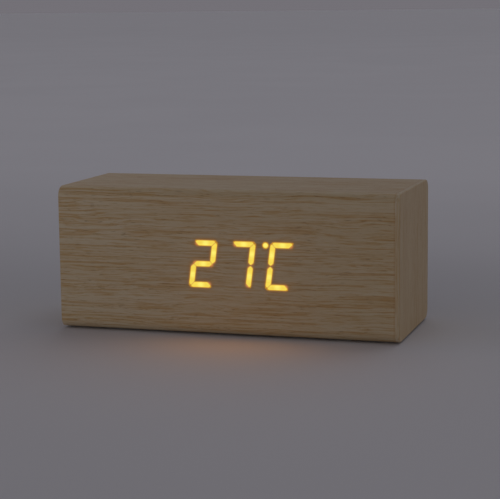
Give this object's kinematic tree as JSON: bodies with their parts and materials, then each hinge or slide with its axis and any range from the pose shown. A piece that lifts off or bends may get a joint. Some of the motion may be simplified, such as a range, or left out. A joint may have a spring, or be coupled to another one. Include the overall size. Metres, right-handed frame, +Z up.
{
  "type": "carbon dioxide monitor",
  "caption": "Rectangular wood-veneered desk air monitor with a seven-segment display glowing through its front, and a rear panel with air slots, buttons, socket and battery door.",
  "frame": {"origin": "on the table, under the middle of the block", "axes": "+X along the width, to the right as the display is read; -Y out of the display; +Z up"},
  "size_m": [0.17, 0.07, 0.0708],
  "materials": {
    "oak_veneer": "satin",
    "oak_end": "satin",
    "fibreboard": "matt",
    "foot_rubber": "matt",
    "segment_glow": "glowing",
    "diffuser_film": "frosted",
    "black_plastic": "fine texture",
    "mask_plastic": "matt",
    "button_plastic": "satin",
    "plunger_plastic": "gloss",
    "chip_black": "satin",
    "board_green": "lacquered",
    "led_white": "clear",
    "screw_steel": "bright",
    "socket_cream": "matt",
    "ribbon_grey": "satin",
    "lead_red": "satin",
    "lead_black": "satin",
    "lead_yellow": "satin",
    "contact_nickel": "bright",
    "cell_steel": "bright",
    "cell_wrap": "printed film",
    "usb_steel": "satin",
    "tongue_black": "satin",
    "chamber_gold": "gilt",
    "membrane_white": "matt",
    "filter_cloth": "matt"
  },
  "bodies": {
    "case": {"alarm_buzzer": "chip_black", "battery_cells": "cell_wrap", "battery_contacts": "contact_nickel", "battery_lead_black": "lead_black", "battery_lead_red": "lead_red", "battery_plug": "socket_cream", "battery_springs": "contact_nickel", "case_core": "fibreboard", "climate_sensor": "chip_black", "clock_crystal": "cell_steel", "co2_board": "board_green", "co2_board_screws": "screw_steel", "co2_chamber": "chamber_gold", "co2_leads": "lead_yellow", "co2_membranes": "membrane_white", "coin_cell": "cell_steel", "coin_cell_holder": "chip_black", "diffuser_film": "diffuser_film", "display_board": "board_green", "display_board_screws": "screw_steel", "display_driver_chip": "chip_black", "display_leds": "led_white", "display_ribbon": "ribbon_grey", "display_socket": "socket_cream", "end_board_left": "fibreboard", "end_board_right": "fibreboard", "end_cap_left": "oak_end", "end_cap_right": "oak_end", "feet": "foot_rubber", "lit_segments": "segment_glow", "main_board": "board_green", "main_board_screws": "screw_steel", "mask_screws": "screw_steel", "processor_chip": "chip_black", "rear_panel": "black_plastic", "rear_panel_screws": "screw_steel", "ribbon_socket": "socket_cream", "segment_mask": "mask_plastic", "switch_bodies": "chip_black", "usb_socket_shell": "usb_steel", "usb_socket_tongue": "tongue_black", "veneer_wrap": "oak_veneer", "vent_filter": "filter_cloth"},
    "battery_door": {"battery_door": "black_plastic"},
    "set_key": {"set_button": "button_plastic", "set_switch_plunger": "plunger_plastic"},
    "up_key": {"up_button": "button_plastic", "up_switch_plunger": "plunger_plastic"},
    "down_key": {"down_button": "button_plastic", "down_switch_plunger": "plunger_plastic"}
  },
  "joints": [
    {"name": "battery_door_tilt", "type": "hinge", "parent": "case", "child": "battery_door", "pos_m": [-0.058, 0.0324, 0.0358], "axis": [0, 0, 1], "range_deg": [0, 35]},
    {"name": "set_button_press", "type": "slide", "parent": "case", "child": "set_key", "axis": [0, -1, 0], "range_m": [0, 0.0005], "stiffness_N_per_m": 40},
    {"name": "up_button_press", "type": "slide", "parent": "case", "child": "up_key", "axis": [0, -1, 0], "range_m": [0, 0.0005], "stiffness_N_per_m": 40},
    {"name": "down_button_press", "type": "slide", "parent": "case", "child": "down_key", "axis": [0, -1, 0], "range_m": [0, 0.0005], "stiffness_N_per_m": 40}
  ]
}
